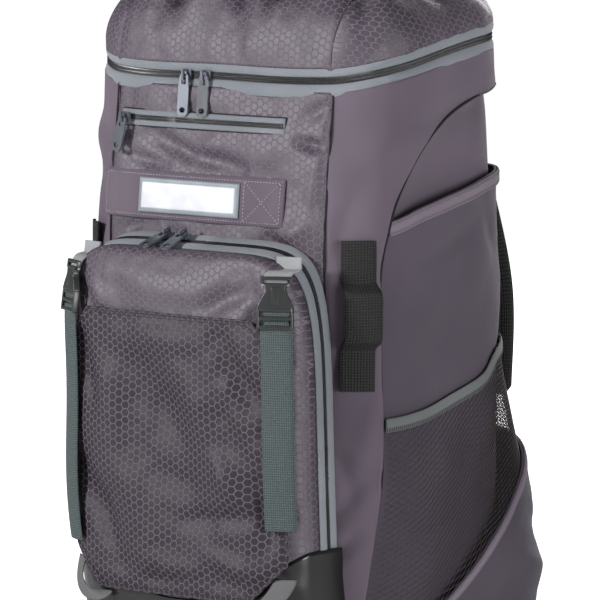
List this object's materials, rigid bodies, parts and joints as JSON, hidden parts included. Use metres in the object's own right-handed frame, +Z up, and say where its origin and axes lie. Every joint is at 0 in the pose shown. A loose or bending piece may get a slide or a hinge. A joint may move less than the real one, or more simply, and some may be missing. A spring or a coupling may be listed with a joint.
{
  "type": "baseball bat backpack",
  "caption": "Closed baseball bat backpack that stands on its base, with side bat sleeves, mesh pockets and a front pocket under a buckled flap.",
  "frame": {"origin": "on the floor under the middle of the bag's body", "axes": "+Z up, -Y to the front with the pocket and flap, +Y to the back panel, +X to the right as seen from the front"},
  "size_m": [0.3596, 0.3044, 0.535],
  "materials": {
    "hex_cloth": "coated cloth woven with small hexagons",
    "plain_cloth": "plain matt woven cloth",
    "boot_skin": "black coated cloth with a soft shine",
    "zip_tape": "grey woven zip tape",
    "edge_binding": "grey folded binding",
    "zip_teeth": "dark coil teeth",
    "zip_metal": "grey metal with a soft shine",
    "badge_face": "plain pale moulded plate",
    "strap_webbing": "blue grey woven webbing",
    "light_webbing": "light grey woven webbing",
    "black_webbing": "black woven webbing",
    "buckle_plastic": "dark grey moulded plastic",
    "mesh_net": "black open mesh",
    "back_padding": "black spacer mesh over foam"
  },
  "bodies": {
    "bag": {"front_panel": "hex_cloth", "lid_centre": "hex_cloth", "lid_side_right": "hex_cloth", "lid_side_left": "hex_cloth", "pocket_front": "hex_cloth", "flap": "hex_cloth", "back_panel": "plain_cloth", "label_strip": "plain_cloth", "side_panel_right": "plain_cloth", "side_panel_left": "plain_cloth", "recess_wall_right": "plain_cloth", "recess_wall_left": "plain_cloth", "sleeve_panel_right": "plain_cloth", "sleeve_panel_left": "plain_cloth", "sleeve_band_right": "plain_cloth", "sleeve_band_left": "plain_cloth", "heel_pocket_right": "plain_cloth", "heel_pocket_left": "plain_cloth", "heel_binding_right": "plain_cloth", "heel_binding_left": "plain_cloth", "base": "boot_skin", "pocket_boot": "boot_skin", "top_zip_tape": "zip_tape", "chest_zip_tape": "zip_tape", "pocket_zip_tape": "zip_tape", "mesh_binding_right": "edge_binding", "mesh_binding_left": "edge_binding", "top_zip_chain": "zip_teeth", "chest_zip_chain": "zip_teeth", "pocket_zip_chain": "zip_teeth", "top_slider_left": "zip_metal", "top_slider_right": "zip_metal", "chest_slider": "zip_metal", "pocket_slider_left": "zip_metal", "pocket_slider_right": "zip_metal", "badge": "badge_face", "strap_tail_right": "strap_webbing", "strap_tail_left": "strap_webbing", "boot_loop_right": "strap_webbing", "boot_loop_left": "strap_webbing", "upper_webbing_right": "light_webbing", "upper_webbing_left": "light_webbing", "handle_right": "black_webbing", "handle_left": "black_webbing", "shoulder_webbing_right": "black_webbing", "shoulder_webbing_left": "black_webbing", "buckle_plug_right": "buckle_plastic", "buckle_plug_left": "buckle_plastic", "buckle_socket_right": "buckle_plastic", "buckle_socket_left": "buckle_plastic", "mesh_pocket_right": "mesh_net", "mesh_pocket_left": "mesh_net", "back_pad": "back_padding", "shoulder_strap_right": "back_padding", "shoulder_strap_left": "back_padding"},
    "top_pull_left": {"top_pull_left": "zip_metal"},
    "top_pull_right": {"top_pull_right": "zip_metal"},
    "chest_pull": {"chest_pull": "zip_metal"},
    "pocket_pull_left": {"pocket_pull_left": "zip_metal"},
    "pocket_pull_right": {"pocket_pull_right": "zip_metal"}
  },
  "joints": [
    {"name": "top_pull_left_hinge", "type": "hinge", "parent": "bag", "child": "top_pull_left", "pos_m": [-0.03202, -0.10805, 0.44], "axis": [-1, 0.0061, 0], "range_deg": [0, 110]},
    {"name": "top_pull_right_hinge", "type": "hinge", "parent": "bag", "child": "top_pull_right", "pos_m": [-0.012, -0.1081, 0.44], "axis": [-1, 0.0003, 0], "range_deg": [0, 110]},
    {"name": "chest_pull_hinge", "type": "hinge", "parent": "bag", "child": "chest_pull", "pos_m": [-0.09209, -0.11362, 0.404], "axis": [-0.9683, 0.1386, 0.2079], "range_deg": [0, 110]},
    {"name": "pocket_pull_left_hinge", "type": "hinge", "parent": "bag", "child": "pocket_pull_left", "pos_m": [-0.03051, -0.13172, 0.31752], "axis": [-0.969, 0.2368, 0.0696], "range_deg": [0, 110]},
    {"name": "pocket_pull_right_hinge", "type": "hinge", "parent": "bag", "child": "pocket_pull_right", "pos_m": [-0.0135, -0.13176, 0.31752], "axis": [-1, 0.0005, 0], "range_deg": [0, 110]}
  ]
}
